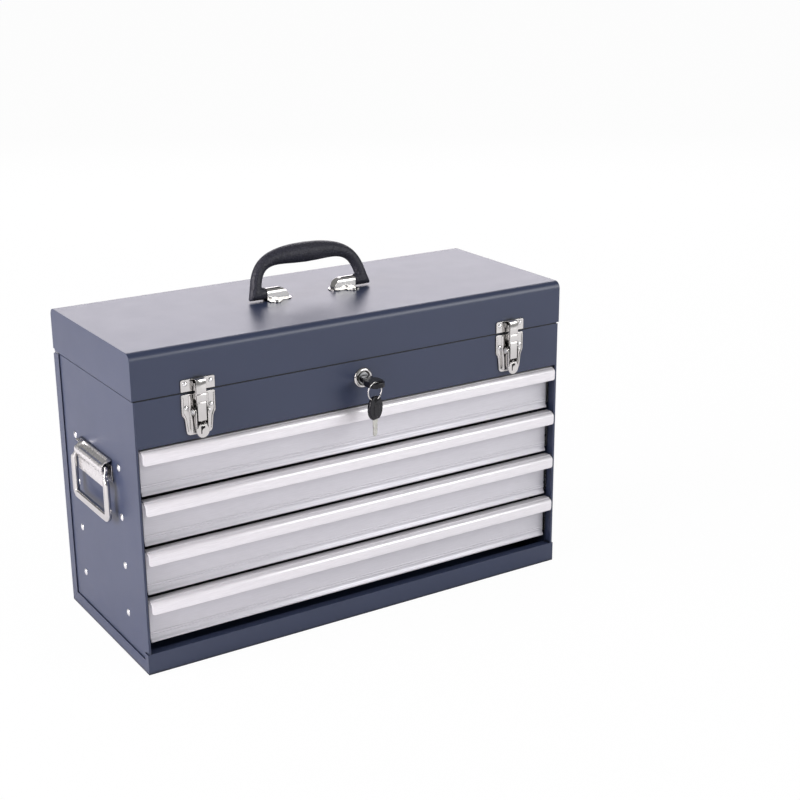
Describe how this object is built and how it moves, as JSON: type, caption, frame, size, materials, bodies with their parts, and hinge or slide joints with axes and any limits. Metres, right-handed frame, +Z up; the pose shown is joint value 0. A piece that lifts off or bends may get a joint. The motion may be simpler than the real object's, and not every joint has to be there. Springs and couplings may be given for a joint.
{
  "type": "portable tool box with drawers",
  "caption": "Portable sheet-steel tool box with a hinged lid, top tray, drawers on slides, draw latches, key lock and carrying handles.",
  "frame": {"origin": "middle of the base, on the surface that the box stands on", "axes": "+X along the width, -Y out of the drawer fronts, +Z up"},
  "size_m": [0.5348, 0.2444, 0.3904],
  "materials": {
    "navy_paint": "satin powder coat",
    "silver_paint": "satin metallic",
    "grey_paint": "satin",
    "bright_nickel": "polished nickel plate",
    "zinc_steel": "zinc plated",
    "black_foam": "matte foam",
    "black_rubber": "matte grained",
    "black_plastic": "semi-gloss"
  },
  "bodies": {
    "cabinet": {"base_pan": "navy_paint", "rear_panel": "navy_paint", "side_panel_left": "navy_paint", "side_panel_right": "navy_paint", "front_fascia": "navy_paint", "tray_floor": "navy_paint", "tray_mat": "black_foam", "lock_channel": "navy_paint", "cabinet_rivets": "zinc_steel", "hinge_leaf_cabinet": "zinc_steel", "hinge_pin": "zinc_steel", "slide_outer_members": "zinc_steel", "side_handle_brackets": "bright_nickel", "latch_plates": "bright_nickel", "latch_pivot_pins": "zinc_steel", "lock_body": "bright_nickel", "lock_nut": "zinc_steel"},
    "lid": {"lid_shell": "navy_paint", "lid_stiffeners": "navy_paint", "lid_catch": "zinc_steel", "lid_rivets": "zinc_steel", "hinge_leaf_lid": "zinc_steel", "handle_brackets": "bright_nickel", "latch_strikes": "bright_nickel"},
    "top_handle": {"handle_grip": "black_rubber", "handle_rods": "zinc_steel"},
    "drawer_1": {"drawer_pan_1": "grey_paint", "drawer_front_1": "silver_paint", "drawer_mat_1": "black_foam", "slide_inner_1": "zinc_steel"},
    "drawer_2": {"drawer_pan_2": "grey_paint", "drawer_front_2": "silver_paint", "drawer_mat_2": "black_foam", "slide_inner_2": "zinc_steel"},
    "drawer_3": {"drawer_pan_3": "grey_paint", "drawer_front_3": "silver_paint", "drawer_mat_3": "black_foam", "slide_inner_3": "zinc_steel"},
    "drawer_4": {"drawer_pan_4": "grey_paint", "drawer_front_4": "silver_paint", "drawer_mat_4": "black_foam", "slide_inner_4": "zinc_steel"},
    "slide_1": {"slide_middle_1": "zinc_steel"},
    "slide_2": {"slide_middle_2": "zinc_steel"},
    "slide_3": {"slide_middle_3": "zinc_steel"},
    "slide_4": {"slide_middle_4": "zinc_steel"},
    "lever_left": {"latch_lever_left": "bright_nickel"},
    "claw_left": {"latch_claw_left": "bright_nickel"},
    "lever_right": {"latch_lever_right": "bright_nickel"},
    "claw_right": {"latch_claw_right": "bright_nickel"},
    "lock_core": {"lock_plug": "zinc_steel", "lock_cam": "zinc_steel", "cam_screw": "zinc_steel", "key_blade": "zinc_steel", "key_bow": "black_plastic"},
    "loose_ring": {"key_ring": "bright_nickel"},
    "bail_left": {"side_bail_left": "bright_nickel"},
    "bail_right": {"side_bail_right": "bright_nickel"},
    "drawer_lock": {"lock_bar": "zinc_steel"}
  },
  "joints": [
    {"name": "lid_hinge", "type": "hinge", "parent": "cabinet", "child": "lid", "pos_m": [0, 0.1033, 0.2888], "axis": [-1, 0, 0], "range_deg": [0, 95]},
    {"name": "top_handle_pivot", "type": "hinge", "parent": "lid", "child": "top_handle", "pos_m": [0, 0.0045, 0.3434], "axis": [1, 0, 0], "range_deg": [0, 100]},
    {"name": "drawer_1_slide", "type": "slide", "parent": "cabinet", "child": "drawer_1", "axis": [0, -1, 0], "range_m": [0, 0.17]},
    {"name": "drawer_2_slide", "type": "slide", "parent": "cabinet", "child": "drawer_2", "axis": [0, -1, 0], "range_m": [0, 0.17]},
    {"name": "drawer_3_slide", "type": "slide", "parent": "cabinet", "child": "drawer_3", "axis": [0, -1, 0], "range_m": [0, 0.17]},
    {"name": "drawer_4_slide", "type": "slide", "parent": "cabinet", "child": "drawer_4", "axis": [0, -1, 0], "range_m": [0, 0.17]},
    {"name": "slide_1_run", "type": "slide", "parent": "cabinet", "child": "slide_1", "axis": [0, -1, 0], "range_m": [0, 0.085]},
    {"name": "slide_2_run", "type": "slide", "parent": "cabinet", "child": "slide_2", "axis": [0, -1, 0], "range_m": [0, 0.085]},
    {"name": "slide_3_run", "type": "slide", "parent": "cabinet", "child": "slide_3", "axis": [0, -1, 0], "range_m": [0, 0.085]},
    {"name": "slide_4_run", "type": "slide", "parent": "cabinet", "child": "slide_4", "axis": [0, -1, 0], "range_m": [0, 0.085]},
    {"name": "lever_left_pivot", "type": "hinge", "parent": "cabinet", "child": "lever_left", "pos_m": [-0.1866, -0.1096, 0.2695], "axis": [-1, 0, 0], "range_deg": [0, 100]},
    {"name": "claw_left_pivot", "type": "hinge", "parent": "lever_left", "child": "claw_left", "pos_m": [-0.1866, -0.1091, 0.262], "axis": [-1, 0, 0], "range_deg": [-87.5, 0]},
    {"name": "lever_right_pivot", "type": "hinge", "parent": "cabinet", "child": "lever_right", "pos_m": [0.1866, -0.1096, 0.2695], "axis": [-1, 0, 0], "range_deg": [0, 100]},
    {"name": "claw_right_pivot", "type": "hinge", "parent": "lever_right", "child": "claw_right", "pos_m": [0.1866, -0.1091, 0.262], "axis": [-1, 0, 0], "range_deg": [-87.5, 0]},
    {"name": "key_turn", "type": "hinge", "parent": "cabinet", "child": "lock_core", "pos_m": [0, -0.1041, 0.269], "axis": [0, -1, 0], "range_deg": [0, 90]},
    {"name": "ring_hang", "type": "hinge", "parent": "lock_core", "child": "loose_ring", "pos_m": [-0.00668, -0.1336, 0.269], "axis": [0, -1, 0], "range_deg": [-90, 0]},
    {"name": "bail_left_pivot", "type": "hinge", "parent": "cabinet", "child": "bail_left", "pos_m": [-0.2606, 0, 0.203], "axis": [0, 1, 0], "range_deg": [0, 90]},
    {"name": "bail_right_pivot", "type": "hinge", "parent": "cabinet", "child": "bail_right", "pos_m": [0.2606, 0, 0.203], "axis": [0, -1, 0], "range_deg": [0, 90]},
    {"name": "lock_bar_slide", "type": "slide", "parent": "cabinet", "child": "drawer_lock", "axis": [0, 0, -1], "range_m": [0, 0.004], "stiffness_N_per_m": 400, "springref_m": -0.008}
  ],
  "couplings": [
    {"joint": "slide_1_run", "follows": "drawer_1_slide", "ratio": 0.5},
    {"joint": "slide_2_run", "follows": "drawer_2_slide", "ratio": 0.5},
    {"joint": "slide_3_run", "follows": "drawer_3_slide", "ratio": 0.5},
    {"joint": "slide_4_run", "follows": "drawer_4_slide", "ratio": 0.5},
    {"joint": "claw_left_pivot", "follows": "lever_left_pivot", "ratio": -0.875},
    {"joint": "claw_right_pivot", "follows": "lever_right_pivot", "ratio": -0.875},
    {"joint": "ring_hang", "follows": "key_turn", "ratio": -1}
  ]
}
